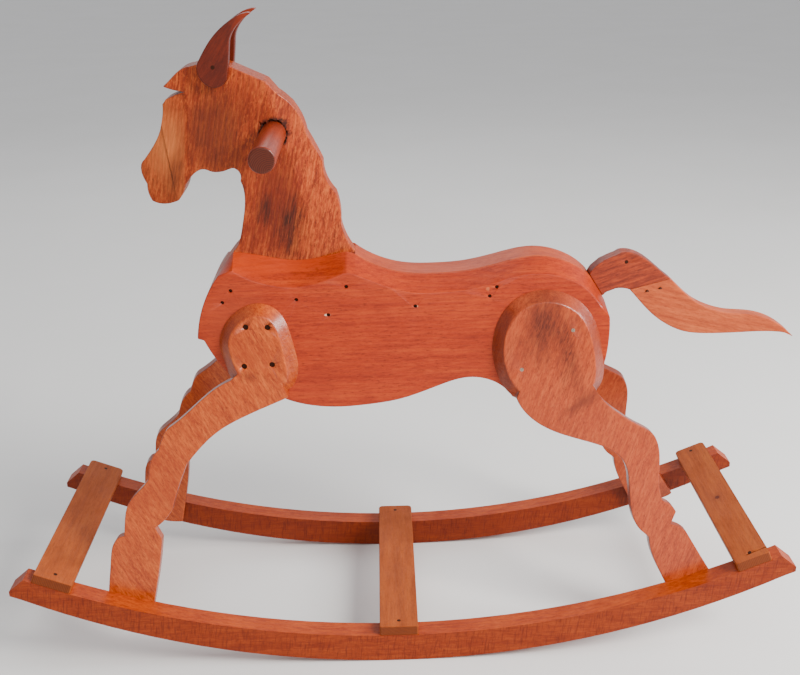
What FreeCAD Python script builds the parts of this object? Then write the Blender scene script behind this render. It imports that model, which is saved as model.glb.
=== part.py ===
import FreeCAD, Part
import math
import os

from FreeCAD import Placement, Rotation, Vector

# Rocking horse. X runs along the horse with the head towards -X, Y across it with the left side
# towards -Y, Z up from the floor. The origin is on the floor under the middle of the whole horse.

SIZES = [
    ("bow_length", 900, "tip to tip of a bow"),
    ("bow_radius", 1000, "underside arc of a bow"),
    ("bow_top_radius", 1060, "upper arc of a bow"),
    ("bow_depth", 35, "height of a bow at its middle"),
    ("bow_width", 24, "thickness of a bow"),
    ("bow_shift", -8, "middle of the bows from the origin, along X"),
    ("track_gap", 226, "clear width between the bows"),
    ("slat_width", 45, "front and middle slat"),
    ("rear_slat_width", 40, "rear slat"),
    ("slat_thickness", 12, "all three slats"),
    ("slat_reach", 403, "front and rear slat from the middle of the bows"),
    ("middle_slat_shift", -7.5, "middle slat from the middle of the bows"),
    ("seat_height", 440, "lowest point of the saddle's crown"),
    ("saddle_width", 94, "body width at the saddle"),
    ("core_thickness", 40, "middle board of the body, and the neck board"),
    ("leg_thickness", 14, "leg boards"),
    ("leg_bevel", 12, "bevel round shoulder and haunch"),
    ("right_leg_lean", 10, "how much further back the right front leg stands at its shoulder"),
    ("foot_line", 90, "height where a leg's outer face meets the bow"),
    ("ear_thickness", 12, "ear boards"),
    ("bar_radius", 13.5, "hand bar"),
    ("bar_length", 300, "hand bar, end to end"),
    ("bar_round", 2, "rounded ends of the hand bar"),
    ("tail_thickness", 18, "tail boards"),
    ("screw_radius", 2.2, "shank of the shoulder screws"),
    ("screw_head_radius", 3.2, "head of the shoulder screws"),
    ("screw_length", 34, "shoulder screws"),
    ("nail_radius", 1.3, "shank of the nails"),
    ("nail_head_radius", 2.2, "head of the nails"),
    ("nail_length", 34, "long nails"),
    ("pin_length", 22, "short nails"),
    ("head_height", 1.6, "thickness of a nail's or screw's head"),
    ("sink_depth", 2.5, "depth of the holes over sunk heads"),
]

doc = FreeCAD.newDocument("RockingHorse")
sheet = doc.addObject("Spreadsheet::Sheet", "Sizes")
for row, (alias, value, about) in enumerate(SIZES, start=1):
    sheet.set("A%d" % row, alias)
    sheet.set("B%d" % row, str(value))
    sheet.set("C%d" % row, about)
    sheet.setAlias("B%d" % row, alias)
doc.recompute()


def size(alias):
    return float(getattr(sheet, alias))


# ---------------------------------------------------------------- shared geometry

SHIFT = size("bow_shift")
DRAWN_SEAT = 440.0                      # seat height that the outlines below are drawn at
RISE = size("seat_height") - DRAWN_SEAT
HALF_CORE = size("core_thickness") / 2
HALF_GAP = size("track_gap") / 2
FOOT_Z = size("foot_line")


def splay_slope():
    """Sideways run of a leg per unit of height, so that its inner face lies on the body's side."""
    slope = 0.0
    for _ in range(20):
        inner_foot = HALF_GAP - size("leg_thickness") * math.hypot(1.0, slope)
        slope = (inner_foot - size("saddle_width") / 2) / (size("seat_height") - FOOT_Z)
    return slope


SLOPE = splay_slope()
SPLAY = math.degrees(math.atan(SLOPE))
SIDE_FOOT = HALF_GAP - size("leg_thickness") * math.hypot(1.0, SLOPE)


def upper(x, z):
    """A point of the body, neck, head or tail, which all rise with the seat."""
    return (x + SHIFT, z + RISE)


def share_of(z, low, high):
    return min(max((z - low) / (high - low), 0.0), 1.0)


def leg_point(x, z, lean=0.0):
    """A point of a leg: still at the foot, and risen with the seat from the belly up.

    The lean moves the leg above its knee towards the tail."""
    rise = RISE * share_of(z, 100.0, 320.0)
    return (x + SHIFT + lean * share_of(z, 195.0, 260.0), (z + rise - FOOT_Z) * math.hypot(1.0, SLOPE))


def side_distance(z):
    """Half width of the body at height z."""
    return SIDE_FOOT - SLOPE * (z - FOOT_Z)


# ---------------------------------------------------------------- drawing helpers


def paces(points):
    """Distance run from the first point to each of them."""
    run = [0.0]
    for a, b in zip(points, points[1:]):
        run.append(run[-1] + a.distanceToPoint(b))
    return run


def draw(sketch, start, stretches, paced_by=None):
    """Closed outline. One point in a stretch is a straight line to it, more are a curve through them.

    Two outlines that are paced by the same one keep step with each other in a loft."""
    last = Vector(start[0], start[1], 0)
    first = last
    guide_start, guide = paced_by or (start, stretches)
    guide_last = Vector(guide_start[0], guide_start[1], 0)
    for stretch, guide_stretch in zip(stretches, guide):
        points = [last] + [Vector(x, y, 0) for x, y in stretch]
        guide_points = [guide_last] + [Vector(x, y, 0) for x, y in guide_stretch]
        if len(points) == 2:
            sketch.addGeometry(Part.LineSegment(points[0], points[1]), False)
        else:
            curve = Part.BSplineCurve()
            curve.interpolate(Points=points, Parameters=paces(guide_points))
            sketch.addGeometry(curve, False)
        last = points[-1]
        guide_last = guide_points[-1]
    if last.distanceToPoint(first) > 1e-6:
        sketch.addGeometry(Part.LineSegment(last, first), False)


def new_sketch(body, name, role="XZ_Plane", offset=0.0):
    sketch = body.newObject("Sketcher::SketchObject", name)
    plane = [f for f in body.Origin.OriginFeatures if f.Role == role][0]
    sketch.AttachmentSupport = [(plane, "")]
    sketch.MapMode = "FlatFace"
    sketch.AttachmentOffset = Placement(Vector(0, 0, offset), Rotation())
    return sketch


def new_body(label):
    body = doc.addObject("PartDesign::Body", label)
    body.Label = label
    return body


def pad(body, sketch, name, length, midplane=False, inward=False):
    feature = body.newObject("PartDesign::Pad", name)
    feature.Profile = (sketch, [""])
    feature.setExpression("Length", length)
    if midplane:
        feature.SideType = "Symmetric"
    feature.Reversed = inward
    return feature


def board(label, start, stretches, length, midplane=False, offset=0.0):
    """A flat board cut to an outline in the XZ plane. It grows towards -Y from the offset."""
    body = new_body(label)
    sketch = new_sketch(body, label + "_outline", offset=offset)
    draw(sketch, start, stretches)
    pad(body, sketch, label + "_pad", length, midplane)
    return body


def cylinder(label, radius, height, base, direction):
    piece = doc.addObject("Part::Cylinder", label)
    piece.Label = label
    piece.setExpression("Radius", radius)
    piece.setExpression("Height", height)
    piece.Placement = Placement(base, Rotation(Vector(0, 0, 1), direction))
    return piece


def fused(label, pieces):
    group = doc.addObject("Part::MultiFuse", label)
    group.Label = label
    group.Shapes = pieces
    return group


def cut(label, base, tools):
    """The base less every tool."""
    result = doc.addObject("Part::Cut", label)
    result.Label = label
    result.Base = base
    result.Tool = tools[0] if len(tools) == 1 else fused(label + "_cutters", tools)
    return result


def mirrored(label, source):
    result = doc.addObject("Part::Mirroring", label)
    result.Label = label
    result.Source = source
    result.Normal = Vector(0, 1, 0)
    result.Base = Vector(0, 0, 0)
    return result


def fasteners(label, heads, direction, shank, head, length, sunk=False):
    """Nails or screws with their heads at the given points. Returns the group and what they cut."""
    pins = []
    pits = []
    for number, point in enumerate(heads, start=1):
        name = "%s_%d" % (label, number)
        depth = size("sink_depth") if sunk else 0.0
        top = point + direction * depth
        pins.append(cylinder(name + "_shank", shank, length, top, direction))
        pins.append(cylinder(name + "_head", head, "Sizes.head_height", top, direction))
        if sunk:
            pits.append(cylinder(name + "_pit", head, "Sizes.sink_depth + 1", point - direction, direction))
    group = fused(label, pins)
    return group, [group] + pits


NAIL = ("Sizes.nail_radius", "Sizes.nail_head_radius")
SCREW = ("Sizes.screw_radius", "Sizes.screw_head_radius")

# ---------------------------------------------------------------- bows and slats


def bow_rise(x, radius):
    return radius - math.sqrt(radius ** 2 - x ** 2)


def bow_arc(half_from, half_to, lift, radius):
    middle = (half_from + half_to) / 2
    ends = [(x + SHIFT, lift + bow_rise(x, radius)) for x in (half_from, middle, half_to)]
    return Part.Arc(*[Vector(x, z, 0) for x, z in ends])


def tip_line(a, b):
    return Part.LineSegment(Vector(a[0] + SHIFT, a[1], 0), Vector(b[0] + SHIFT, b[1], 0))


def bow_blank():
    """One curved rocker: two arcs, with blunt bevelled tips."""
    half = size("bow_length") / 2
    depth = size("bow_depth")
    under = half - 12
    over = half - 18
    under_z = bow_rise(under, size("bow_radius"))
    over_z = depth + bow_rise(over, size("bow_top_radius"))
    nose = [(half, under_z + 5), (half, under_z + 11)]
    body = new_body("bow_left_blank")
    sketch = new_sketch(body, "bow_outline", offset=HALF_GAP)
    sketch.addGeometry(bow_arc(-under, under, 0, size("bow_radius")), False)
    sketch.addGeometry(bow_arc(-over, over, depth, size("bow_top_radius")), False)
    for way in (-1, 1):
        ends = [(way * x, z) for x, z in [(under, under_z)] + nose + [(over, over_z)]]
        for a, b in zip(ends, ends[1:]):
            sketch.addGeometry(tip_line(a, b), False)
    pad(body, sketch, "bow_pad", "Sizes.bow_width")
    return body


def slat(label, x, width):
    """A flat slat lying on both bows, square to their upper arc. Its width is the name of a size."""
    radius = size("bow_top_radius")
    angle = math.degrees(math.asin(x / radius))
    foot = Vector(x + SHIFT, 0, size("bow_depth") + bow_rise(x, radius))
    turn = Rotation(Vector(0, 1, 0), -angle)
    piece = doc.addObject("Part::Box", label)
    piece.Label = label
    piece.setExpression("Length", "Sizes." + width)
    piece.setExpression("Width", "Sizes.track_gap + 2 * Sizes.bow_width")
    piece.setExpression("Height", "Sizes.slat_thickness")
    corner = Vector(-size(width) / 2, -HALF_GAP - size("bow_width"), 0)
    piece.Placement = Placement(foot + turn.multVec(corner), turn)
    top = foot + turn.multVec(Vector(0, 0, size("slat_thickness")))
    return piece, top, turn.multVec(Vector(0, 0, -1))


slat_blanks = []
slat_pins = []
for slat_label, slat_x, slat_wide in (
    ("front_slat", -size("slat_reach"), "slat_width"),
    ("middle_slat", size("middle_slat_shift"), "slat_width"),
    ("rear_slat", size("slat_reach"), "rear_slat_width"),
):
    blank, slat_top, slat_down = slat(slat_label + "_blank", slat_x, slat_wide)
    slat_blanks.append((slat_label, blank))
    bow_middle = HALF_GAP + size("bow_width") / 2
    for way in (-1, 1):
        pin_name = "%s_pin_%s" % (slat_label, "left" if way < 0 else "right")
        place = slat_top + Vector(0, way * bow_middle, 0)
        slat_pins.append(cylinder(pin_name, NAIL[0], "Sizes.pin_length", place, slat_down))
        slat_pins.append(cylinder(pin_name + "_head", NAIL[1], "Sizes.head_height", place, slat_down))
slat_nails = fused("slat_nails", slat_pins)
for slat_label, blank in slat_blanks:
    cut(slat_label, blank, [slat_nails])

# ---------------------------------------------------------------- legs

OUT_LEFT = Vector(0, -1, 0)
LEFT_FACE = Placement(Vector(0, -HALF_GAP, FOOT_Z), Rotation(Vector(1, 0, 0), -SPLAY))
INTO_LEFT = LEFT_FACE.Rotation.multVec(Vector(0, 1, 0))


def on_left_face(x, z, lean=0.0):
    """The point of the left leg's outer face at this place along the horse and this height."""
    u, v = leg_point(x, z, lean)
    return LEFT_FACE.multVec(Vector(u, 0, v))


def on_left_side(x, z):
    """The point of the body's left side at this place along the horse and this height."""
    u, height = upper(x, z)
    return Vector(u, -side_distance(height), height)


def inset(loop, distance):
    """The loop moved inwards by a distance. Its points run clockwise."""
    moved = []
    for number, (x, z) in enumerate(loop):
        before = loop[number - 1]
        after = loop[(number + 1) % len(loop)]
        run = (after[0] - before[0], after[1] - before[1])
        length = math.hypot(*run)
        moved.append((x + run[1] / length * distance, z - run[0] / length * distance))
    return moved


def leg_blank(label, joint, start, stretches, lean=0.0):
    """A leg board with its bevelled shoulder or haunch, lying on the splayed face."""
    body = new_body(label)
    body.setExpression(".Placement.Base.y", "-Sizes.track_gap / 2")
    body.Placement = LEFT_FACE
    rims = []
    foot = [leg_point(x, z, lean) for x, z in joint]
    rounds = paces([Vector(u, v, 0) for u, v in foot + foot[:1]])
    for name, depth, bevel in (("root", size("leg_thickness"), 0.0), ("face", 0.0, size("leg_bevel"))):
        rim = new_sketch(body, "%s_%s" % (label, name), offset=-depth)
        curve = Part.BSplineCurve()
        loop = [Vector(u, v, 0) for u, v in inset(foot, bevel)]
        curve.interpolate(Points=loop, Parameters=rounds, PeriodicFlag=True)
        rim.addGeometry(curve, False)
        rims.append(rim)
    loft = body.newObject("PartDesign::AdditiveLoft", label + "_joint")
    loft.Profile = (rims[0], [""])
    loft.Sections = [(rims[1], [""])]
    loft.Ruled = True
    outline = new_sketch(body, label + "_outline")
    drawn = [[leg_point(x, z, lean) for x, z in part] for part in stretches]
    draw(outline, leg_point(*start, lean), drawn)
    pad(body, outline, label + "_pad", "Sizes.leg_thickness", inward=True)
    return body


SHOULDER = [
    (-199, 382), (-191, 402), (-173, 418), (-152, 423), (-135, 417), (-124, 403),
    (-116, 376), (-112, 345), (-120, 326), (-150, 320), (-180, 328), (-195, 357),
]
FRONT_LEG = [
    [(-188, 339)],
    [(-211, 326), (-235, 306), (-258, 288)],
    [(-266, 280), (-270, 271), (-274, 261)],
    [(-281, 253), (-285, 243), (-287, 229)],
    [(-293, 220), (-305, 208), (-314, 196), (-318, 182), (-320, 167)],
    [(-321, 159)],
    [(-328, 157), (-334, 150), (-339, 130), (-344, 96), (-347, 69)],
    [(-323, 56), (-298, 53)],
    [(-292, 79), (-286, 106), (-280, 138), (-278, 154)],
    [(-285, 168)],
    [(-274, 176), (-263, 190)],
    [(-257, 209), (-250, 227), (-243, 243)],
    [(-231, 257), (-203, 282), (-179, 295), (-156, 305), (-124, 318)],
    [(-138, 352)],
]
HAUNCH = [
    (106, 366), (111, 391), (123, 411), (143, 425), (169, 429), (194, 422), (213, 407),
    (226, 382), (232, 352), (231, 322), (214, 302), (182, 294), (146, 298), (121, 316), (109, 341),
]
REAR_LEG = [
    [(132, 309)],
    [(139, 296), (148, 286), (163, 275), (182, 266), (209, 257), (232, 249)],
    [(243, 243), (252, 235), (258, 224), (261, 207)],
    [(263, 186), (267, 163), (276, 147)],
    [(286, 138)],
    [(289, 121), (296, 103), (314, 64)],
    [(340, 67), (362, 70), (370, 76)],
    [(357, 97), (329, 144)],
    [(322, 149), (311, 153)],
    [(317, 168)],
    [(312, 175), (301, 182)],
    [(297, 196), (296, 216), (296, 237), (292, 255)],
    [(285, 265), (270, 274), (250, 287), (237, 297), (227, 308)],
    [(206, 340)],
]

# What the legs give up so that their feet stand flat against the bows' inner faces.
bow_space = doc.addObject("Part::Box", "bow_space_left")
bow_space.Label = "bow_space_left"
bow_space.setExpression("Length", "Sizes.bow_length + 40")
bow_space.Width = 60
bow_space.setExpression("Height", "Sizes.foot_line + 30")
bow_space.Placement = Placement(
    Vector(SHIFT - size("bow_length") / 2 - 20, -HALF_GAP - 60, 0), Rotation()
)


def foot_head(x, z):
    """Head of a foot nail, on the inner face of a left leg."""
    return Vector(x + SHIFT, -side_distance(z), z)


foot_left, _ = fasteners(
    "foot_nails_left", [foot_head(-318, 72), foot_head(341, 87)], OUT_LEFT, *NAIL, "Sizes.pin_length"
)
foot_right = mirrored("foot_nails_right", foot_left)
fused("foot_nails", [foot_left, foot_right])


def front_leg(side, lean):
    """A front leg and its screws, both drawn on the left. The sides differ only in their lean."""
    blank = leg_blank("front_leg_%s_blank" % side, SHOULDER, (-172, 352), FRONT_LEG, lean)
    heads = [on_left_face(x, z, lean) for x, z in ((-167, 399), (-143, 398), (-171, 355), (-140, 356))]
    name = "front_leg_screws_%s" % side
    label = name if side == "left" else name + "_drawn"
    screws, pits = fasteners(label, heads, INTO_LEFT, *SCREW, "Sizes.screw_length", sunk=True)
    return blank, screws, pits


left_front_blank, front_screws, left_pits = front_leg("left", 0.0)
cut("front_leg_left", left_front_blank, [bow_space, foot_left] + left_pits)

right_front_blank, right_screws, right_pits = front_leg("right", size("right_leg_lean"))
right_front = cut("front_leg_right_drawn", right_front_blank, [bow_space, foot_left] + right_pits)
mirrored("front_leg_right", right_front)
mirrored("front_leg_screws_right", right_screws)

rear_nails, rear_nail_cut = fasteners(
    "rear_leg_nails_left",
    [on_left_face(x, z) for x, z in ((195, 385), (138, 342))],
    INTO_LEFT, *NAIL, "Sizes.nail_length",
)
rear_blank = leg_blank("rear_leg_left_blank", HAUNCH, (146, 340), REAR_LEG)
rear_leg = cut("rear_leg_left", rear_blank, [bow_space, foot_left] + rear_nail_cut)
mirrored("rear_leg_right", rear_leg)
mirrored("rear_leg_nails_right", rear_nails)

bow_left = cut("bow_left", bow_blank(), [piece for _, piece in slat_blanks] + [slat_nails, foot_left])
mirrored("bow_right", bow_left)

# ---------------------------------------------------------------- body

# Upper edge of the body where it meets the neck or core board: place along the horse, height, and
# how steeply the edge of the side board falls away from there.
HOLLOW = [
    (-180, 472, 0.62), (-164, 470, 0.86), (-144, 466, 0.93), (-117, 461, 0.88), (-99, 461, 0.84),
    (-76, 465, 0.79),
]
RIDGE = [(-54, 469, 0.68), (-45, 466, 0.66)]
SADDLE = [
    (-23, 452, 0.44), (12, 441.5, 0.46), (45, 440, 0.46), (80, 442, 0.46), (118, 450, 0.42),
    (158, 457, 0.48), (192, 450, 0.46), (222, 429, 0.44),
]
TAIL_SEAT = (238, 403, 0.25)
RUMP = [(239, 385), (238, 366), (234, 343)]
UNDERSIDE = [(222, 318), (190, 300), (155, 298), (129, 305)]
BELLY = [(104, 325), (81, 329), (47, 321), (1, 306), (-33, 301), (-67, 299), (-101, 302), (-126, 309)]
CHEST_FOOT = [(-154, 321), (-184, 336), (-203, 357), (-216, 380)]
CHEST_CORNER = (-223, 382)
CHEST = [(-220, 402), (-210, 430), (-196, 452)]
NECK_SEAM_X = -45
LOFT_REACH = side_distance(upper(0, 290)[1]) - HALF_CORE    # they are drawn this wide, then planed


def side_outline(fall):
    """Outline of a side board, with its upper edge lowered by the fall of each point."""
    def top(points):
        return [upper(x, z - slope * fall) for x, z, slope in points]
    start = top(HOLLOW[:1])[0]
    return start, [
        top(HOLLOW[1:] + RIDGE[:1]),
        top(RIDGE[1:]),
        top(SADDLE),
        top([TAIL_SEAT]),
        [upper(x, z) for x, z in RUMP],
        [upper(x, z) for x, z in UNDERSIDE],
        [upper(x, z) for x, z in BELLY],
        [upper(x, z) for x, z in CHEST_FOOT],
        [upper(*CHEST_CORNER)],
        [upper(x, z) for x, z in CHEST],
        [start],
    ]


side_body = new_body("body_side_left_blank")
side_sketches = []
for number, reach in enumerate((0.0, LOFT_REACH)):
    side_sketch = new_sketch(side_body, "side_outline_%d" % number, offset=HALF_CORE + reach)
    side_start, side_stretches = side_outline(reach)
    draw(side_sketch, side_start, side_stretches, paced_by=side_outline(0.0))
    side_sketches.append(side_sketch)
side_loft = side_body.newObject("PartDesign::AdditiveLoft", "side_loft")
side_loft.Profile = (side_sketches[0], [""])
side_loft.Sections = [(side_sketches[1], [""])]
side_loft.Ruled = True

# Everything outside the splayed plane that the legs lie on.
leg_space = doc.addObject("Part::Box", "leg_space_left")
leg_space.Label = "leg_space_left"
leg_space.setExpression("Length", "Sizes.bow_length")
leg_space.Width = 120
leg_space.setExpression("Height", "Sizes.seat_height + 200")
leg_space.Placement = Placement(
    Vector(SHIFT - size("bow_length") / 2, -SIDE_FOOT, FOOT_Z), Rotation(Vector(1, 0, 0), -SPLAY)
).multiply(Placement(Vector(0, -120, 0), Rotation()))

body_nails, body_nail_cut = fasteners(
    "body_nails_left",
    [
        on_left_side(x, z)
        for x, z in (
            (-193, 422), (-183, 435), (-111, 423), (-55, 436), (-76, 405), (21, 412), (104, 421), (112, 431)
        )
    ],
    Vector(0, 1, 0), *NAIL, "Sizes.nail_length", sunk=True,
)
body_nails_right = mirrored("body_nails_right", body_nails)

cut("body_side_left", side_body, [leg_space, front_screws, rear_nails] + body_nail_cut)
right_side = cut(
    "body_side_right_drawn", side_body, [leg_space, right_screws, rear_nails] + body_nail_cut
)
mirrored("body_side_right", right_side)


def top_line(points):
    return [upper(x, z) for x, z, _ in points]


core_blank = board(
    "body_core_blank",
    upper(NECK_SEAM_X, RIDGE[1][1]),
    [
        top_line(SADDLE),
        top_line([TAIL_SEAT]),
        [upper(x, z) for x, z in RUMP],
        [upper(x, z) for x, z in UNDERSIDE],
        [upper(x, z) for x, z in BELLY[:4]] + [upper(NECK_SEAM_X, 300.5)],
    ],
    "Sizes.core_thickness", midplane=True,
)
cut("body_core", core_blank, [body_nails, body_nails_right])

# ---------------------------------------------------------------- neck and head

NECK_HEAD = [
    [(-67, 299), (-101, 302), (-126, 309)],
    CHEST_FOOT,
    [CHEST_CORNER],
    CHEST,
    [(-180, 472)],
    [(-175, 478), (-170, 492), (-166, 510), (-163, 530), (-166, 552)],
    [(-168, 563), (-172, 566), (-180, 564), (-190, 562), (-200, 564)],
    [(-209, 565), (-217, 560), (-226, 549)],
    [(-229, 541), (-235, 532)],
    [(-245, 528), (-256, 527), (-266, 530)],
    [(-269, 537), (-270, 549)],
    [(-274, 558), (-275, 567), (-270, 576)],
    [(-262, 586), (-252, 601), (-246, 616), (-243, 636)],
    [(-239, 641)],
    [(-227, 646), (-217, 649)],
    [(-227, 650.5), (-240, 655)],
    [(-233, 661), (-223, 670), (-210, 675)],
    [(-191, 678), (-168, 674)],
    [(-131, 657)],
    [(-121, 645)],
    [(-105, 631), (-97, 618), (-92, 601)],
    [(-84, 586), (-76, 568)],
    [(-73, 549), (-63, 533)],
    [(-59, 514), (-59, 499)],
    [(-53, 479), (-45, 466)],
]

head_blank = board(
    "neck_head_blank",
    upper(NECK_SEAM_X, 300.5),
    [[upper(x, z) for x, z in part] for part in NECK_HEAD],
    "Sizes.core_thickness", midplane=True,
)


def shaving(label, head, foot, outward, slope):
    """A slanted cut off the left face of the neck board.

    It begins on the line from head to foot, goes the outward way across the face, and deepens by
    the slope."""
    along = ((foot - head) * outward).normalize()
    across = Vector(-along.z, slope, along.x).normalize()
    normal = along.cross(across)
    turn = FreeCAD.Matrix(
        along.x, across.x, normal.x, 0,
        along.y, across.y, normal.y, 0,
        along.z, across.z, normal.z, 0,
        0, 0, 0, 1,
    )
    tool = doc.addObject("Part::Box", label)
    tool.Label = label
    tool.Length = (head - foot).Length
    tool.Width = 120
    tool.Height = 40
    corner = head if outward > 0 else foot
    tool.Placement = Placement(corner, Placement(turn).Rotation)
    return tool


def face_point(x, z, depth=0.0):
    """A point on the left face of the neck board, or sunk into it by a depth."""
    u, height = upper(x, z)
    return Vector(u, depth - HALF_CORE, height)


shavings = [
    shaving("mane_shaving", face_point(-120, 618), face_point(-83, 456), 1, 0.24),
    shaving("crest_shaving", face_point(-141, 676), face_point(-108, 566), 1, 0.27),
    shaving("cheek_shaving", face_point(-215, 646), face_point(-223, 520), -1, 0.13),
    shaving("nose_shaving", face_point(-247, 625, 4.4), face_point(-234, 505, 1.5), -1, 0.24),
]
shavings += [mirrored(tool.Label + "_right", tool) for tool in shavings]

bar_u, bar_z = upper(-127, 602)
bar_body = new_body("hand_bar")
bar_sketch = new_sketch(bar_body, "bar_outline")
bar_sketch.addGeometry(Part.Circle(Vector(bar_u, bar_z, 0), Vector(0, 0, 1), size("bar_radius")), False)
bar_pad = pad(bar_body, bar_sketch, "bar_pad", "Sizes.bar_length", midplane=True)
doc.recompute()
bar_ends = [
    "Edge%d" % number
    for number, edge in enumerate(bar_pad.Shape.Edges, start=1)
    if edge.BoundBox.YLength < 1e-6
]
bar_fillet = bar_body.newObject("PartDesign::Fillet", "bar_ends")
bar_fillet.Base = (bar_pad, bar_ends)
bar_fillet.setExpression("Radius", "Sizes.bar_round")

# ---------------------------------------------------------------- ears

EAR = [
    [(-201, 671), (-198, 663), (-191, 656), (-184, 654), (-176, 656), (-170, 663)],
    [(-168, 676), (-166, 692), (-164, 704), (-158, 714), (-150, 722), (-141, 728)],
    [(-144, 729)],
    [(-155, 726), (-164, 721), (-174, 713.5), (-183.5, 704), (-191, 694), (-199, 681)],
]
ear_blank = board(
    "ear_left_blank",
    upper(-199, 681),
    [[upper(x, z) for x, z in part] for part in EAR],
    "Sizes.ear_thickness", offset=HALF_CORE,
)
ear_face = -HALF_CORE - size("ear_thickness")
ear_u, ear_z = upper(-184, 675)
ear_nail_left, _ = fasteners(
    "ear_nail_left", [Vector(ear_u, ear_face, ear_z)], Vector(0, 1, 0), *NAIL, "Sizes.pin_length"
)
ear_nail_right = mirrored("ear_nail_right", ear_nail_left)
ear_nails = fused("ear_nails", [ear_nail_left, ear_nail_right])
ear_left = cut("ear_left", ear_blank, [ear_nail_left])
mirrored("ear_right", ear_left)

cut("neck_head", head_blank, shavings + [bar_body, ear_nails, body_nails, body_nails_right])

# ---------------------------------------------------------------- tail

SEAM_LOW = (270, 409)
SEAM_HIGH = (316, 421)
TAIL_ROOT = [
    [TAIL_SEAT[:2]],
    [(245, 408), (254, 411), (263, 411), SEAM_LOW],
    [SEAM_HIGH],
    [(296, 438), (281, 449), (268, 454), (257, 454)],
    [(252, 451)],
    [(242, 447), (231, 440), (223, 431)],
]
TAIL_TIP = [
    [(282, 395), (298, 378), (317, 364), (338, 355), (364, 352), (400, 352), (440, 352), (456, 350)],
    [(466, 345)],
    [(453, 357), (437, 367), (414, 374), (386, 377), (365, 383), (346, 393), (330, 407), SEAM_HIGH],
]
tail_root_blank = board(
    "tail_root_blank",
    upper(222, 429),
    [[upper(x, z) for x, z in part] for part in TAIL_ROOT],
    "Sizes.tail_thickness", midplane=True,
)
tail_tip_blank = board(
    "tail_tip_blank",
    upper(*SEAM_LOW),
    [[upper(x, z) for x, z in part] for part in TAIL_TIP],
    "Sizes.tail_thickness", midplane=True,
)


def tail_head(x, z):
    u, height = upper(x, z)
    return Vector(u, -size("tail_thickness") / 2, height)


# Two of the tail's nails slant up out of the tip into the root.
slanted, _ = fasteners(
    "tail_nails_seam", [tail_head(290, 406), tail_head(305, 409)],
    Vector(0, 0.5, 0.866), *NAIL, "Sizes.pin_length - 6",
)
straight, _ = fasteners("tail_nail_root", [tail_head(264, 443)], Vector(0, 1, 0), *NAIL, "Sizes.pin_length - 6")
tail_nails = fused("tail_nails", [slanted, straight])
cut("tail_root", tail_root_blank, [tail_nails])
cut("tail_tip", tail_tip_blank, [tail_nails])

# ---------------------------------------------------------------- checks and files

NODES = [
    "bow_left", "bow_right", "front_slat", "middle_slat", "rear_slat",
    "front_leg_left", "front_leg_right", "rear_leg_left", "rear_leg_right",
    "body_core", "body_side_left", "body_side_right", "neck_head",
    "ear_left", "ear_right", "hand_bar", "tail_root", "tail_tip",
    "front_leg_screws_left", "front_leg_screws_right", "rear_leg_nails_left", "rear_leg_nails_right",
    "body_nails_left", "body_nails_right", "ear_nails", "tail_nails", "foot_nails", "slat_nails",
]

doc.recompute()
for item in doc.Objects:
    if "Invalid" in item.State or "Error" in item.State:
        raise RuntimeError("%s failed: %s" % (item.Label, item.State))

os.makedirs("parts", exist_ok=True)
for node in NODES:
    found = doc.getObjectsByLabel(node)
    if len(found) != 1:
        raise RuntimeError("%s is the label of %d objects" % (node, len(found)))
    shape = found[0].Shape
    if shape.isNull() or not shape.isValid() or not shape.Solids:
        raise RuntimeError("%s has no valid shape" % node)
    shape.exportStep("parts/%s.step" % node)
    print("%-24s %d solid(s), %9.1f mm3" % (node, len(shape.Solids), shape.Volume))
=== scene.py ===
# %% [markdown]
# # A child's rocking horse in stained boards
# The horse is a toy joined from sawn boards: two long bows on the floor, three slats across
# them, four splayed legs, a thick body with a board on each side, a plank for neck and head,
# a round bar to hold, two ears and a board tail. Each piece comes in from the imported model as
# a bare solid. The scene adds what a workshop adds: eased edges, chips, stain, varnish, nails.

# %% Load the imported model
import math
import random

import bmesh
import bpy
import numpy as np
from mathutils import Matrix, Vector
from mathutils.bvhtree import BVHTree
from mathutils.kdtree import KDTree


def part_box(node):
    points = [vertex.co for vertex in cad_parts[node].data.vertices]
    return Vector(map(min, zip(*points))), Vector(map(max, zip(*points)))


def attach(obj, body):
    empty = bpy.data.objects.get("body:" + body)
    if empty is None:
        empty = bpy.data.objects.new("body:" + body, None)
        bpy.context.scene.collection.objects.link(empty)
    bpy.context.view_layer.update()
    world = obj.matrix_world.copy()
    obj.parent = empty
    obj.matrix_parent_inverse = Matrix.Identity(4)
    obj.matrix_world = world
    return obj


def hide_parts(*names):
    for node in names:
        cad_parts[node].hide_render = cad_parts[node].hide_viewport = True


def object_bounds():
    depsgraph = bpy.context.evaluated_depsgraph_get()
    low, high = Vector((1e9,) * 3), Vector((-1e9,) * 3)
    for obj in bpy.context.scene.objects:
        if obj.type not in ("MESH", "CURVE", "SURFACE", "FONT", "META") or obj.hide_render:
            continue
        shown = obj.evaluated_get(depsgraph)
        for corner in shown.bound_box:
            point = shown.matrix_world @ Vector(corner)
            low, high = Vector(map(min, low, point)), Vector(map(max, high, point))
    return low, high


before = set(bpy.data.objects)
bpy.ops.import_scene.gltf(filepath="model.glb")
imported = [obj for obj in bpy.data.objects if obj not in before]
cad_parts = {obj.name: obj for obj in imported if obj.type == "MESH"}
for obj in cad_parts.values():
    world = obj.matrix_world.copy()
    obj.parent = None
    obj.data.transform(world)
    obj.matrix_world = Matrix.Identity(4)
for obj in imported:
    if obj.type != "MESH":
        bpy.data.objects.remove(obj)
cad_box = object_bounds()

print("the packed model has", len(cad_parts), "pieces")

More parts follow.
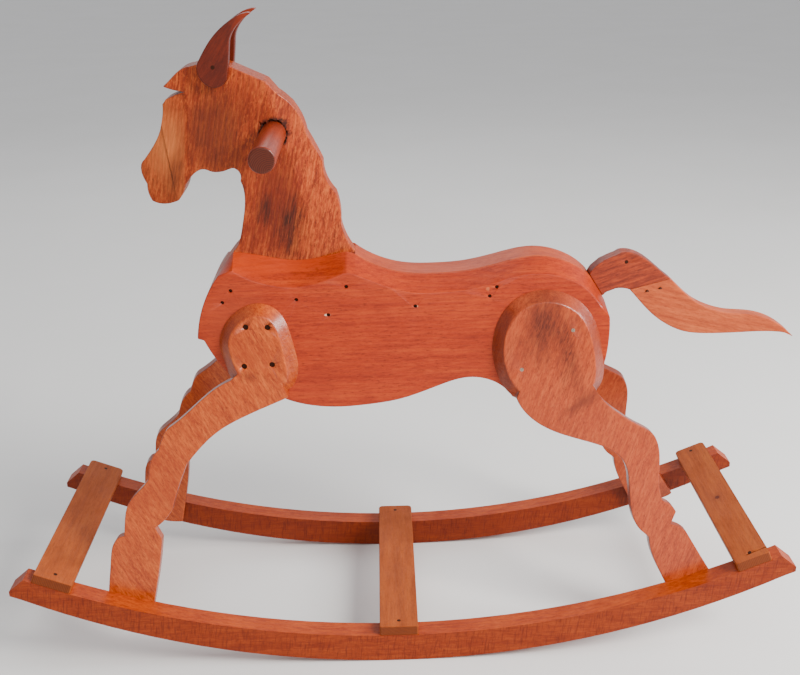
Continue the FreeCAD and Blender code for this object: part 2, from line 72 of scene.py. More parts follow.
# %% [markdown]
# ## Camera
# The horse is seen from its left side, a little over a metre away and from above the seat.
# Looking down by about 22 degrees shows the tops of the bows and of the saddle. A lens near
# 49 mm keeps the far bow clearly smaller than the near one. The small roll is the tilt of a
# hand-held camera, and it is turned about the camera's own axis, after the other two turns.

# %% The camera
EYE_FROM_MIDDLE = Vector((-0.0185, -1.1816, 0.8283))
LOOK_DOWN = math.radians(21.84)
LOOK_RIGHT = math.radians(0.69)
ROLL = math.radians(-1.42)
LENS_MM = 48.71
SENSOR_MM = 36

middle = (cad_box[0] + cad_box[1]) / 2
eye = Vector((middle.x, 0, 0)) + EYE_FROM_MIDDLE
lens = bpy.data.cameras.new("camera")
lens.lens = LENS_MM
lens.sensor_width = SENSOR_MM
lens.dof.use_dof = False
camera = bpy.data.objects.new("camera", lens)
bpy.context.scene.collection.objects.link(camera)
camera.matrix_world = (
    Matrix.Translation(eye)
    @ Matrix.Rotation(-LOOK_RIGHT, 4, "Z")
    @ Matrix.Rotation(math.pi / 2 - LOOK_DOWN, 4, "X")
    @ Matrix.Rotation(ROLL, 4, "Z")
)
bpy.context.scene.camera = camera
print("the camera stands at", [round(c, 3) for c in eye])

# %% [markdown]
# ## Colours
# A stain is easiest to name as the colour it has on a screen, from 0 to 255. The shader wants
# light instead, so each value goes through the usual curve of a screen. The display look then
# pales strong colours, so green and blue are lowered further, and the whole a little, first.

# %% Stains as light
RICHNESS = (1.0, 1.5, 1.8)
DEPTH = 0.74


def as_light(value):
    """The light that a screen gives for a value from 0 to 1, by the standard curve."""
    return value / 12.92 if value < 0.04045 else ((value + 0.055) / 1.055) ** 2.4


def stain(red, green, blue):
    """A colour as seen on a screen, 0 to 255, turned into light for the shader."""
    light = [as_light(c / 255) for c in (red, green, blue)]
    top = max(light)
    return (*[DEPTH * top * (v / top) ** rich for v, rich in zip(light, RICHNESS)], 1.0)


def deeper(colour, share):
    """The same colour with only a share of its light."""
    return (*[c * share for c in colour[:3]], 1.0)


print("a mid terracotta as light:", [round(c, 3) for c in stain(180, 94, 44)])

# %% [markdown]
# ## Nodes, a few words at a time
# A procedural finish is a tree of small nodes. Making each one by hand takes four or five
# lines, so a short helper class names the few that wood needs: a local frame in which a
# pattern is laid, noise, rings, a range, arithmetic and the mixing of two colours. A mapping
# node of the TEXTURE kind gives a pattern its own middle, turn and size, in metres, so the
# grain can be stretched along a board and a stain can be put at one place on it.

# %% A helper for finishes
RING_DETAIL_SIZE = 1.3
RAGS = 2.2
SPOT_RIM = 0.05


class Finish:
    """A material and the few kinds of node that a wood finish needs."""

    def __init__(self, name):
        self.material = bpy.data.materials.new(name)
        self.material.use_nodes = True
        self.tree = self.material.node_tree
        self.shader = self.tree.nodes["Principled BSDF"]
        self.place = self.tree.nodes.new("ShaderNodeTexCoord")
        self.here = self.place.outputs["Object"]

    def node(self, kind, inputs, **settings):
        """A new node, with other nodes' outputs linked to it and plain values set on it."""
        made = self.tree.nodes.new("ShaderNode" + kind)
        for key, value in settings.items():
            setattr(made, key, value)
        for key, value in inputs.items():
            if isinstance(value, bpy.types.NodeSocket):
                self.tree.links.new(value, made.inputs[key])
            else:
                made.inputs[key].default_value = value
        return made

    def wire(self, name, value):
        """Links what changes over the surface to a socket of the shader."""
        self.tree.links.new(value, self.shader.inputs[name])

    def put(self, name, value):
        """Sets what is the same all over on the shader's own socket."""
        self.shader.inputs[name].default_value = value

    def lay(self, middle, turn, size):
        """Coordinates in a local frame: its middle, its turn in degrees, and its size."""
        degrees = [math.radians(t) for t in turn]
        where = {"Vector": self.here, "Location": middle, "Rotation": degrees, "Scale": size}
        return self.node("Mapping", where, vector_type="TEXTURE").outputs["Vector"]

    def grain(self, turn, size, middle=(0, 0, 0)):
        """Coordinates stretched along the grain, from a pattern's length and its width."""
        return self.lay(middle, turn, (size[0], size[1], size[1]))

    def noise(self, where, detail=3.0, rough=0.55, twist=0.0, scale=1.0):
        inputs = {"Vector": where, "Scale": scale, "Detail": detail,
                  "Roughness": rough, "Distortion": twist}
        return self.node("TexNoise", inputs).outputs["Fac"]

    def rings(self, where, wobble, detail):
        """The growth rings of a trunk whose heart is the X axis of the local frame."""
        inputs = {"Vector": where, "Scale": 1.0, "Distortion": wobble,
                  "Detail": detail, "Detail Scale": RING_DETAIL_SIZE}
        settings = {"wave_type": "RINGS", "rings_direction": "X"}
        return self.node("TexWave", inputs, **settings).outputs["Fac"]

    def span(self, value, low, high, to_low=0.0, to_high=1.0):
        """Turns a range of values into another, smoothly and without passing its ends."""
        inputs = {"Value": value, "From Min": low, "From Max": high,
                  "To Min": to_low, "To Max": to_high}
        return self.node("MapRange", inputs, interpolation_type="SMOOTHSTEP").outputs["Result"]

    def maths(self, kind, first, second=0.0):
        return self.node("Math", {0: first, 1: second}, operation=kind).outputs[0]

    def times(self, first, second):
        return self.maths("MULTIPLY", first, second)

    def mix(self, amount, first, second):
        inputs = {0: amount, 6: first, 7: second}
        return self.node("Mix", inputs, data_type="RGBA").outputs[2]

    def over(self, colour, new, value, low, high, amount=1.0):
        """Lays a new colour over the old one where a pattern's value nears high."""
        return self.mix(self.times(self.span(value, low, high), amount), colour, new)

    def facing(self, direction):
        """How squarely the surface faces along one direction, from 0 to 1."""
        inputs = {0: self.place.outputs["Normal"], 1: direction}
        dot = self.node("VectorMath", inputs, operation="DOT_PRODUCT").outputs["Value"]
        return self.maths("ABSOLUTE", dot)

    def spot(self, middle, lean, size, soft, ragged):
        """A patch of stain: 1 inside, 0 outside, with a soft and ragged border."""
        here = self.lay(middle, (0, lean, 0), size)
        far = self.node("VectorMath", {0: here}, operation="LENGTH").outputs["Value"]
        torn = self.times(self.noise(here, 5.0, 0.65, scale=RAGS), ragged * 2)
        reach = self.maths("ADD", far, torn)
        edge = 1.0 + ragged
        return self.span(reach, edge - soft, edge + SPOT_RIM, 1.0, 0.0)


print("the finish helper is ready")

# %% [markdown]
# ## The grain of softwood
# The boards are softwood under a thin red-brown stain and a satin varnish. Close to, several
# things make it read as wood: broad bands where the stain took more or less, growth rings
# that show as fine lines along the board, short dark fibres and pores, and paler and darker
# flecks. Each is a noise stretched along the grain. One layer is laid over another, from the
# broadest to the finest, because a single noise looks like marble and not like wood.

# %% Bands, fibres and flecks
FIBRE = (0.018, 0.0015)
PORE = (0.0065, 0.0011)
FLECK = (0.020, 0.0026)
SPECK = (0.0042, 0.0016)
BAND_MIDDLE = (0.013, 0.007, 0.003)
PORE_MIDDLE = (0.5, 0, 0)
FLECK_MIDDLE = (0.2, 0, 0)
SPECK_MIDDLE = (0.4, 0, 0)


def banded(f, tone, dark, light, turn, band):
    """Broad bands along the board where it took more of the stain, or less."""
    bands = f.noise(f.grain(turn, band, BAND_MIDDLE), 4.0, 0.6, 0.3)
    colour = f.over(dark, tone, bands, 0.10, 0.60)
    return f.over(colour, light, bands, 0.45, 0.95)


def with_fibres(f, colour, dark, light, turn, fine, fibres, flecks, grit):
    """Thin dark fibres and pores, then flecks and specks both darker and paler."""
    pores = f.noise(f.grain(turn, PORE, PORE_MIDDLE), 2.0, 0.5)
    mottle = f.noise(f.grain(turn, FLECK, FLECK_MIDDLE), 5.0, 0.7, 0.5)
    specks = f.noise(f.grain(turn, SPECK, SPECK_MIDDLE), 4.0, 0.7)
    for value, low, high, amount, new in (
        (fine, 0.52, 0.72, fibres, deeper(dark, 0.6)),
        (pores, 0.60, 0.70, fibres, deeper(dark, 0.4)),
        (mottle, 0.50, 0.66, flecks, deeper(dark, 0.7)),
        (mottle, 0.50, 0.34, flecks, light),
        (specks, 0.52, 0.64, grit, deeper(dark, 0.6)),
        (specks, 0.46, 0.36, grit, light),
    ):
        colour = f.over(colour, new, value, low, high, amount)
    return colour


print("a fibre is", FIBRE[0] * 1000, "mm long and a fleck", FLECK[0] * 1000, "mm")

# %% [markdown]
# ## Saw marks with painted shade, end grain and stains
# Three more layers depend on where a spot of the surface is, or which way it faces. A sawn side
# keeps fine marks across it, and the faces turned along one direction are also darkened with
# painted shade. Where a board is cut across, its year rings show and it turns dark. And old
# drips and dirt leave stains at fixed places: each is an ellipsoid with a ragged border, which
# may stop at a straight edge or break up along the fibres.

# %% Saw marks with painted shade, end grain and stains
YEAR = (0.006, 0.006)
MARK_DEPTH = 0.8
STRAIGHT_EDGE = (0.003, 1, 1)


def saw_marks_and_painted_shade(f, colour, height, turn, size, side, depth, painted_shade, new):
    """Marks of sawing on the faces that look along one direction, and painted shade darkening
    those faces.
    """
    marks = f.noise(f.lay((0, 0, 0), turn, size), 3.0, 0.6)
    # Painted shade: the faces turned along this direction are darkened as if less light reached
    # them.
    marked_and_shaded_side = f.span(f.facing(side), 0.6, 0.9)
    cut = f.times(f.span(marks, 0.46, 0.70), marked_and_shaded_side)
    colour = f.mix(f.times(cut, depth), colour, new)
    colour = f.mix(f.times(marked_and_shaded_side, painted_shade), colour, new)
    return colour, f.maths("SUBTRACT", height, f.times(cut, MARK_DEPTH))


def end_grain(f, colour, dark, turn, heart, amount):
    """Year rings in a dark stain, on the faces that are cut across the grain."""
    along_grain = Matrix.Identity(3)
    for angle, axis in zip(turn, "XYZ"):
        along_grain = Matrix.Rotation(math.radians(angle), 3, axis) @ along_grain
    cut_end = f.span(f.facing(along_grain @ Vector((1, 0, 0))), 0.55, 0.95)
    years = f.rings(f.grain(turn, YEAR, heart), 1.5, 2.0)
    end_colour = f.mix(years, deeper(dark, 0.40), deeper(dark, 0.95))
    return f.mix(f.times(cut_end, amount), colour, end_colour)


def stained(f, colour, fine, at, size, strength, new, soft=0.5, ragged=0.5, lean=0,
            fibrous=0, edge=None, edge_lean=0):
    """One stain. lean turns it in the XZ plane, and edge is where it stops in a line."""
    patch = f.spot(at, lean, size, soft, ragged)
    if edge is not None:
        line = f.lay(edge, (0, edge_lean, 0), STRAIGHT_EDGE)
        side = f.node("SeparateXYZ", {"Vector": line}).outputs["X"]
        patch = f.times(patch, f.span(side, -0.5, 0.5))
    if fibrous:
        patch = f.times(patch, f.span(fine, 0.40, 0.62, 1.0 - fibrous, 1.0))
    return f.mix(f.times(patch, strength), colour, new)


print("year rings are about", YEAR[0] * 1000, "mm apart")

# %% [markdown]
# ## The whole recipe
# One recipe takes a board's three colours, the turn of its grain, how strong each layer is and
# a list of stains, so that every board differs but all are one timber. The varnish is a clear
# coat over it. It is thinner where the fibres stand up, so its roughness follows them, and the
# same fibres and rings make a very low relief.

# %% The wood recipe
CLOUDS = 17.0
RELIEF_DEPTH = 0.0008
SPECULAR = 0.18
COAT_ROUGHNESS = 0.20


def varnished(f, colour, height, wear, rough, coat, relief):
    """Joins the layers to the shader, under a clear coat."""
    f.wire("Base Color", colour)
    f.wire("Roughness", f.span(wear, 0.35, 0.65, *rough))
    inputs = {"Strength": relief, "Distance": RELIEF_DEPTH, "Height": height}
    f.wire("Normal", f.node("Bump", inputs).outputs["Normal"])
    f.put("Specular IOR Level", SPECULAR)
    f.put("Coat Weight", coat)
    f.put("Coat Roughness", COAT_ROUGHNESS)
    return f.material


def wood(name, tone, dark, light, turn=(0, 0, 0), band=(0.11, 0.010), ring=(0.14, 0.020),
         streaks=0.35, fibres=0.45, flecks=0.35, grit=0.20, cloud=0.30, end=0.55,
         rough=(0.36, 0.52), coat=0.25, relief=0.35, heart=(0, -0.07, -0.05), saw_and_painted_shade=None,
         stains=()):
    """A varnished board. turn lays X of the pattern along the grain, in degrees."""
    f = Finish(name)
    lines = f.rings(f.grain(turn, ring, heart), 2.6, 3.0)
    fine = f.noise(f.grain(turn, FIBRE), 4.0, 0.65)
    patches = f.noise(f.here, 4.0, 0.55, 0.4, scale=CLOUDS)
    colour = banded(f, tone, dark, light, turn, band)
    colour = f.over(colour, dark, lines, 0.45, 0.95, streaks)
    colour = with_fibres(f, colour, dark, light, turn, fine, fibres, flecks, grit)
    colour = f.over(colour, dark, patches, 0.50, 0.72, cloud)
    height = f.maths("ADD", f.times(fine, 0.5), f.times(lines, 0.25))
    # Saw marks, and painted shade on the faces that look to one side.
    if saw_and_painted_shade:
        colour, height = saw_marks_and_painted_shade(f, colour, height, **saw_and_painted_shade)
    colour = end_grain(f, colour, dark, turn, heart, end)
    for mark in stains:
        colour = stained(f, colour, fine, **mark)
    wear = f.maths("ADD", f.times(fine, 0.5), f.times(patches, 0.5))
    return varnished(f, colour, height, wear, rough, coat, relief)


print("the wood recipe is ready")

# %% [markdown]
# ## Floor and light
# The horse stands on a plain pale floor. The key lamp, soft and high on the right and a little
# in front, gives the pale gloss on the right-hand bevels and leaves the left-hand ones dark. A
# lower one on the same side is like a window and strengthens that gloss. A weak lamp in front
# fills the shade, one behind lifts the far edges, and a pale sky lights the rest. They are
# area lamps, because the size of such a lamp alone decides how soft its shadows are.

# %% The floor
FLOOR_HALF = 20.0
FLOOR_GAP = 0.0005
FLOOR_ROUGHNESS = 0.85
DRIFT = 3.0


def pale_floor():
    f = Finish("pale_floor")
    drift = f.noise(f.here, scale=DRIFT)
    f.wire("Base Color", f.mix(drift, stain(240, 239, 237), stain(248, 247, 246)))
    f.put("Roughness", FLOOR_ROUGHNESS)
    return f.material


floor_mesh = bpy.data.meshes.new("floor")
bm = bmesh.new()
bmesh.ops.create_grid(bm, x_segments=1, y_segments=1, size=FLOOR_HALF)
bmesh.ops.translate(bm, verts=bm.verts, vec=(0, 0, cad_box[0].z - FLOOR_GAP))
bm.to_mesh(floor_mesh)
bm.free()
floor = bpy.data.objects.new("floor", floor_mesh)
floor_mesh.materials.append(pale_floor())
bpy.context.scene.collection.objects.link(floor)
print("the floor is at", round(cad_box[0].z - FLOOR_GAP, 4))

# %% Lamps and sky
WHITE = (1, 1, 1)
WARM_WHITE = (1.0, 0.985, 0.95)
SKY_COLOUR = (0.95, 0.96, 1.0, 1)
SKY_STRENGTH = 0.78

# Each lamp: where it is from the horse's middle, in metres, how wide, its watts, its tint.
LAMPS = {
    "key_lamp": ((1.7, -1.3, 1.5), 1.0, 108, WARM_WHITE),
    "window_lamp": ((2.2, -0.3, 0.9), 0.8, 56, WHITE),
    "fill_lamp": ((0.2, -2.6, 0.9), 1.6, 17, WHITE),
    "back_lamp": ((-0.4, 2.0, 1.7), 1.8, 14, WHITE),
}
for name, (place, width, watts, tint) in LAMPS.items():
    light = bpy.data.lights.new(name, "AREA")
    light.shape = "DISK"
    light.size = width
    light.energy = watts
    light.color = tint
    lamp = bpy.data.objects.new(name, light)
    bpy.context.scene.collection.objects.link(lamp)
    lamp.location = middle + Vector(place)
    lamp.rotation_euler = (-Vector(place)).to_track_quat("-Z", "Y").to_euler()

sky = bpy.data.worlds.new("pale_sky")
sky.use_nodes = True
sky.node_tree.nodes["Background"].inputs["Color"].default_value = SKY_COLOUR
sky.node_tree.nodes["Background"].inputs["Strength"].default_value = SKY_STRENGTH
bpy.context.scene.world = sky
print("lamps:", len(LAMPS))

# %% [markdown]
# ## Where things are
# Marks and stains sit at fixed places on their pieces. A place is written as a distance from
# the low corner of the piece's own box, in metres, so it follows the piece if that moves. A
# stain that is THROUGH deep reaches far past a board that leans, so it shows all along it.

# %% Places on a piece
THROUGH = 0.5


def on(node, x, z, depth=0.0):
    """A point on a piece: x and z from its box's low corner, depth from its left face."""
    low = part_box(node)[0]
    return Vector((low.x + x, low.y + depth, low.z + z))


# %% [markdown]
# ## Colours of the boards
# The same red-brown stain took differently on each board, so each gets its own finish: the
# bows are terracotta and dull, the slats browner, the body orange-red and glossy, the legs
# paler, the neck streaked and stained nearly black in places, and the ears and the bar dark.
# The grain of each runs along its own board, so its turn is given first.
#
# The bows were cut from the plank with a band saw, whose marks are still on their upright
# faces. Those faces are also darkened with painted shade, and the right-hand bow, seen from its
# shaded inner side, gets stronger marks and deeper painted shade.

# %% Finishes of the bows
ACROSS = (0, 0, 90)
UPRIGHT_FACE = (0, 1, 0)


def bow_wood(name, painted_shade, depth):
    saw_and_painted_shade = dict(turn=(0, 6, 0), size=(0.0021, 0.02, 0.016), side=UPRIGHT_FACE,
               depth=depth, painted_shade=painted_shade, new=stain(104, 44, 22))
    return wood(
        name, stain(180, 94, 44), stain(142, 64, 30), stain(206, 118, 62),
        band=(0.14, 0.009), streaks=0.18, flecks=0.50, cloud=0.40,
        rough=(0.42, 0.60), coat=0.08, heart=(0, -0.07, 0.05), saw_and_painted_shade=saw_and_painted_shade,
    )


# Painted shade: the upright faces of the bows are darkened, the far bow's most.
near_bow_finish = bow_wood("near_bow_varnish", 0.36, 0.65)
far_bow_finish = bow_wood("far_bow_varnish", 0.62, 0.75)
print("the bows have their finishes")

# %% [markdown]
# The slats are a plainer board, with the grain across the horse. One has a small knot: a dark
# spot within a wider, weaker one.

# %% Finish of the slats
brown_stain = stain(84, 38, 26)
knot = on("rear_slat", 0.018, 0.020, 0.137)
slat_finish = wood(
    "slat_varnish", stain(172, 102, 60), stain(134, 76, 42), stain(190, 122, 78),
    turn=ACROSS, band=(0.09, 0.012), streaks=0.10, fibres=0.22, flecks=0.20, cloud=0.40,
    end=0.85, rough=(0.50, 0.66), coat=0.04,
    stains=(
        dict(at=knot, size=(0.0036, 0.0042, 0.03), strength=0.85, new=brown_stain, ragged=0.4),
        dict(at=knot, size=(0.010, 0.014, 0.03), strength=0.35, new=brown_stain, soft=0.9),
    ),
)
print("the knot is at", [round(c, 3) for c in knot])

# %% [markdown]
# The side boards of the body are the glossiest. The chest is more purple, the hollow beside
# the neck is a clear orange with a firm border, and three small scratches are pale.
# The core board that carries the saddle is paler and duller, rubbed by use.

# %% Finishes of the body and saddle
body_finish = wood(
    "body_varnish", stain(180, 82, 46), stain(144, 58, 30), stain(200, 104, 62),
    band=(0.20, 0.009), ring=(0.24, 0.016), streaks=0.25, fibres=0.60, flecks=0.38,
    cloud=0.25, rough=(0.32, 0.46), coat=0.24,
    stains=(
        dict(at=on("body_side_left", 0.040, 0.103), size=(0.055, THROUGH, 0.060),
             strength=0.40, new=stain(172, 92, 74), soft=0.8, ragged=0.4),
        dict(at=on("body_side_left", 0.080, 0.166), size=(0.070, THROUGH, 0.015),
             strength=0.50, new=stain(190, 88, 22), soft=0.2, ragged=0.05),
        dict(at=on("body_side_left", 0.2445, 0.1150), size=(0.0030, THROUGH, 0.0016),
             strength=0.80, new=stain(232, 190, 170), soft=0.3),
        dict(at=on("body_side_left", 0.325, 0.132), size=(0.0026, THROUGH, 0.0026),
             strength=0.45, new=stain(224, 150, 120)),
        dict(at=on("body_side_left", 0.146, 0.108), size=(0.0040, THROUGH, 0.0016),
             strength=0.90, new=stain(240, 215, 200), soft=0.4, ragged=0.4),
    ),
)
core_finish = wood(
    "saddle_varnish", stain(190, 98, 60), stain(156, 72, 40), stain(210, 120, 80),
    band=(0.16, 0.010), streaks=0.18, flecks=0.40, rough=(0.40, 0.54), coat=0.10,
)
print("the body has its finishes")

# %% [markdown]
# Each leg is one board whose grain runs down the leg, so front and rear differ by its turn.
# Their narrow flanks and the bevels half turned to the side carry faint saw marks and painted
# shade on both sides, which makes the bevels on the left dark.
# The shoulder has one brown streak, and the haunch three, along the grain and across it.

# %% Finishes of the legs
FLANK = (1.35, 0, 0)  # longer than 1, so that a bevel half turned to the side counts too
FLANK_MARKS = (0.012, 0.012, 0.004)
haunch_brown = stain(84, 40, 28)


# Painted shade: the flanks and side bevels of a leg are darkened, with faint saw marks across
# them.
def leg_flank_marks_and_shade(painted_shade, new):
    return dict(turn=(0, 0, 0), size=FLANK_MARKS, side=FLANK, depth=0.20, painted_shade=painted_shade, new=new)


front_leg_finish = wood(
    "front_leg_varnish", stain(198, 108, 58), stain(158, 76, 36), stain(226, 142, 92),
    turn=(0, 62, 0), band=(0.07, 0.008), streaks=0.16, fibres=0.60, flecks=0.50, grit=0.35,
    cloud=0.55, rough=(0.34, 0.48), coat=0.45, saw_and_painted_shade=leg_flank_marks_and_shade(0.45, stain(120, 56, 34)),
    stains=(
        dict(at=on("front_leg_left", 0.182, 0.292), size=(0.016, THROUGH, 0.010),
             strength=0.55, new=brown_stain, soft=0.9, ragged=0.7, fibrous=0.5),
    ),
)
rear_leg_finish = wood(
    "rear_leg_varnish", stain(186, 98, 64), stain(150, 72, 44), stain(208, 124, 90),
    turn=(0, -72, 0), band=(0.10, 0.008), streaks=0.20, fibres=0.60, flecks=0.45, grit=0.30,
    cloud=0.45, rough=(0.34, 0.48), coat=0.42, saw_and_painted_shade=leg_flank_marks_and_shade(0.60, stain(112, 50, 34)),
    stains=(
        dict(at=on("rear_leg_left", 0.054, 0.326), size=(0.026, THROUGH, 0.060), lean=8,
             strength=0.95, new=haunch_brown, soft=0.9, fibrous=0.3),
        dict(at=on("rear_leg_left", 0.082, 0.300), size=(0.018, THROUGH, 0.080), lean=-12,
             strength=0.85, new=haunch_brown, soft=0.9, fibrous=0.5),
        dict(at=on("rear_leg_left", 0.102, 0.240), size=(0.040, THROUGH, 0.012), lean=-35,
             strength=0.55, new=haunch_brown, soft=0.9, ragged=0.6),
    ),
)
print("the legs have their finishes")

# %% [markdown]
# The neck is the board with the most character. Its grain runs up the neck. A dark band with a
# straight edge crosses its middle, and nearly black streaks lie within it. The cheek is dark
# up to a straight line, where the pale wood of the face and muzzle begins. The hole of the
# bar has a stained rim. Each mark starts at the left face and is smaller on the right one.

# %% Finish of the neck and head
NECK_UP = (0, 102, 0)
black_stain = stain(34, 18, 14)
pale_wood = stain(212, 142, 104)
neck_marks = (
    dict(at=on("neck_head", 0.150, 0.225), size=(0.050, 0.06, 0.085), lean=12, strength=0.62,
         new=stain(116, 48, 34), soft=0.8, ragged=0.4,
         edge=on("neck_head", 0.170, 0.225), edge_lean=193),
    dict(at=on("neck_head", 0.160, 0.200), size=(0.024, 0.05, 0.052), lean=14, strength=0.97,
         new=black_stain, soft=0.9, fibrous=0.5),
    dict(at=on("neck_head", 0.134, 0.219), size=(0.013, 0.05, 0.026), lean=10, strength=0.90,
         new=black_stain, soft=0.9, fibrous=0.5),
    dict(at=on("neck_head", 0.146, 0.235), size=(0.024, 0.06, 0.060), lean=14, strength=0.45,
         new=brown_stain, soft=0.9, fibrous=0.5),
    dict(at=on("neck_head", 0.085, 0.308), size=(0.044, 0.06, 0.060), lean=10, strength=0.85,
         new=stain(96, 50, 36), soft=0.7, ragged=0.3, fibrous=0.2,
         edge=on("neck_head", 0.057, 0.318), edge_lean=6),
    dict(at=on("neck_head", 0.030, 0.290), size=(0.040, 0.06, 0.075), strength=0.85,
         new=pale_wood, soft=0.9, ragged=0.4, fibrous=0.3,
         edge=on("neck_head", 0.055, 0.318), edge_lean=186),
    dict(at=on("neck_head", 0.038, 0.262), size=(0.012, 0.06, 0.040), lean=18, strength=0.75,
         new=brown_stain, soft=0.8, fibrous=0.4),
    dict(at=on("neck_head", 0.1492, 0.3045), size=(0.0185, 0.06, 0.0180), strength=0.92,
         new=stain(46, 20, 14), soft=0.25),
)
neck_finish = wood(
    "neck_varnish", stain(178, 90, 54), stain(120, 54, 32), stain(220, 136, 92),
    turn=NECK_UP, band=(0.05, 0.006), ring=(0.10, 0.014), streaks=0.12, fibres=0.75,
    grit=0.45, flecks=0.60, cloud=0.50, end=0.30, rough=(0.42, 0.60), coat=0.12, relief=0.7,
    stains=neck_marks,
)
print("the neck has", len(neck_marks), "stains")

# %% [markdown]
# The ears and the bar are the darkest pieces. An ear is rubbed paler along its middle. The
# bar was cut from beside a trunk's heart, so its end shows rings round a point near its rim.
# The tail's two boards differ: a dark root with close streaks and a paler tip.

# %% Finishes of the ears, bar and tail
ear_finish = wood(
    "ear_varnish", stain(98, 42, 22), stain(74, 30, 18), stain(124, 58, 32),
    turn=(0, -55, 0), band=(0.05, 0.006), streaks=0.15, fibres=0.30, flecks=0.25,
    rough=(0.36, 0.50), coat=0.20,
    stains=(
        dict(at=on("ear_left", 0.055, 0.075, 0.026), size=(0.030, 0.06, 0.014), lean=-50,
             strength=0.60, new=stain(176, 84, 42), soft=0.9, ragged=0.3),
    ),
)
bar_finish = wood(
    "bar_varnish", stain(138, 62, 36), stain(98, 50, 34), stain(160, 80, 50),
    turn=ACROSS, band=(0.09, 0.008), streaks=0.12, fibres=0.30, flecks=0.30, cloud=0.25,
    end=0.95, rough=(0.30, 0.42), coat=0.30, heart=on("hand_bar", 0.020, 0.003),
)
root_finish = wood(
    "tail_root_varnish", stain(160, 76, 42), stain(104, 44, 26), stain(188, 100, 62),
    turn=(0, -18, 0), band=(0.040, 0.0040), fibres=0.60, flecks=0.50, cloud=0.35,
    rough=(0.36, 0.50),
)
tip_finish = wood(
    "tail_tip_varnish", stain(198, 112, 76), stain(160, 80, 50), stain(218, 138, 102),
    turn=(0, 15, 0), band=(0.10, 0.007), streaks=0.18, flecks=0.40, rough=(0.38, 0.52),
    coat=0.22,
)
print("ears, bar and tail have their finishes")

# %% [markdown]
# ## Easing the edges
# A sawn board never has a razor edge: sanding and varnish round it by about a millimetre, and
# that thin round is what catches the light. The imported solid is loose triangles, so a copy is
# merged first, flat triangles are dissolved into whole faces, and then every sharp edge is
# bevelled. The rims of nail seats are left out, because they are smaller than the bevel.

# %% Where the nails are
NAIL_REACH = 0.0048
SEAT_REACH = NAIL_REACH * 1.4

NAIL_NODES = sorted(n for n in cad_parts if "nail" in n or "screw" in n)
nail_points = [v.co for n in NAIL_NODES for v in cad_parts[n].data.vertices]
nail_finder = KDTree(len(nail_points))
for number, point in enumerate(nail_points):
    nail_finder.insert(point, number)
nail_finder.balance()


def near_a_nail(point, reach=NAIL_REACH):
    return nail_finder.find(point)[2] < reach


print("nail groups:", len(NAIL_NODES))

# %% Copy a solid and find its sharp edges
MERGE = 1e-6
FLAT = math.radians(0.2)
SHARP = math.radians(20)


def merged_copy(node):
    """The solid's mesh with its loose triangles joined at their corners."""
    bm = bmesh.new()
    bm.from_mesh(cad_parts[node].data)
    bmesh.ops.remove_doubles(bm, verts=bm.verts, dist=MERGE)
    return bm


def whole_faces(bm):
    """The same mesh with one face wherever its triangles lie flat."""
    bmesh.ops.dissolve_limit(bm, angle_limit=FLAT, verts=bm.verts, edges=bm.edges)
    return bm


def sharp_edges(bm, sharp=SHARP):
    """The edges to ease: they turn by more than the limit and aren't at a nail's seat."""
    edges = [e for e in bm.edges if len(e.link_faces) == 2 and e.calc_face_angle() > sharp]
    return [e for e in edges if not near_a_nail((e.verts[0].co + e.verts[1].co) / 2)]


bm = whole_faces(merged_copy("middle_slat"))
print("the middle slat has", len(sharp_edges(bm)), "edges to ease")
bm.free()

# %% [markdown]
# A bevel can go wrong where an edge is shorter than the bevel is wide: it folds over itself or
# throws a point far off the board. So each result is compared with the board it came from. A
# point that is further off than the bevel's width is a stray, and so is a face that has turned
# over. The edges near a stray are then left sharp, and the bevel is made again from the start.

# %% Ease the edges
EASE = 0.0011
EASE_STEPS = 2
TRIES = 5
FIRST_CLEARANCE = 0.6
MORE_CLEARANCE = 0.7
TINY_FACE = 1e-8
TURNED_OVER = -0.1
LEAVE_REACH = 0.005
NO_LENGTH = 1e-12


def bevel(bm, edges, width, steps):
    bmesh.ops.bevel(bm, geom=edges, offset=width, offset_type="OFFSET", affect="EDGES",
                    segments=steps, profile=0.5, material=-1, clamp_overlap=False)


def strays(bm, surface):
    """Points that a bevel threw off the board, or where it turned a face over."""
    bad = []
    for face in bm.faces:
        centre = face.calc_center_median()
        _, normal, _, far = surface.find_nearest(centre)
        turned = face.calc_area() > TINY_FACE and normal.dot(face.normal) < TURNED_OVER
        if (turned or far > EASE) and not near_a_nail(centre, SEAT_REACH):
            bad.append(centre)
            bad.extend(v.co.copy() for v in face.verts)
    return bad


def clear_of(edges, points, reach):
    """The edges that stay further than reach from every one of the points."""
    if not points:
        return edges
    starts = np.array([e.verts[0].co for e in edges])[:, None]
    runs = np.array([e.verts[1].co for e in edges])[:, None] - starts
    away = np.array(points)[None] - starts
    share = (away * runs).sum(2) / np.maximum((runs * runs).sum(2), NO_LENGTH)
    nearest = np.clip(share, 0, 1)[..., None] * runs
    clear = np.linalg.norm(away - nearest, axis=2).min(1) > reach
    return [e for e, keep in zip(edges, clear) if keep]


def eased(start, sharp=SHARP, leave=()):
    """Rounds off the sharp edges of a board's bmesh, apart from those near points to leave."""
    surface = BVHTree.FromBMesh(start)
    trouble = []
    for attempt in range(TRIES):
        bm = start.copy()
        edges = sharp_edges(bm, sharp)
        edges = clear_of(edges, trouble, EASE * (FIRST_CLEARANCE + attempt * MORE_CLEARANCE))
        edges = clear_of(edges, leave, LEAVE_REACH)
        bevel(bm, edges, EASE, EASE_STEPS)
        bad = strays(bm, surface)
        print("attempt", attempt, "edges", len(edges), "strays", len(bad))
        if not bad:
            return bm
        trouble.extend(bad)
        bm.free()
    return start


print("edges are eased by", EASE * 1000, "mm")

# %% [markdown]
# A finished piece needs three more things. It is shaded smooth with its crisp edges marked, and
# a Weighted Normal modifier keeps the broad faces flat beside their narrow rounds. And it is
# told what it rides on, and the solid it replaces is hidden.

# %% Dress a piece
CRISP = math.radians(18)
EVEN_WEIGHT = 60


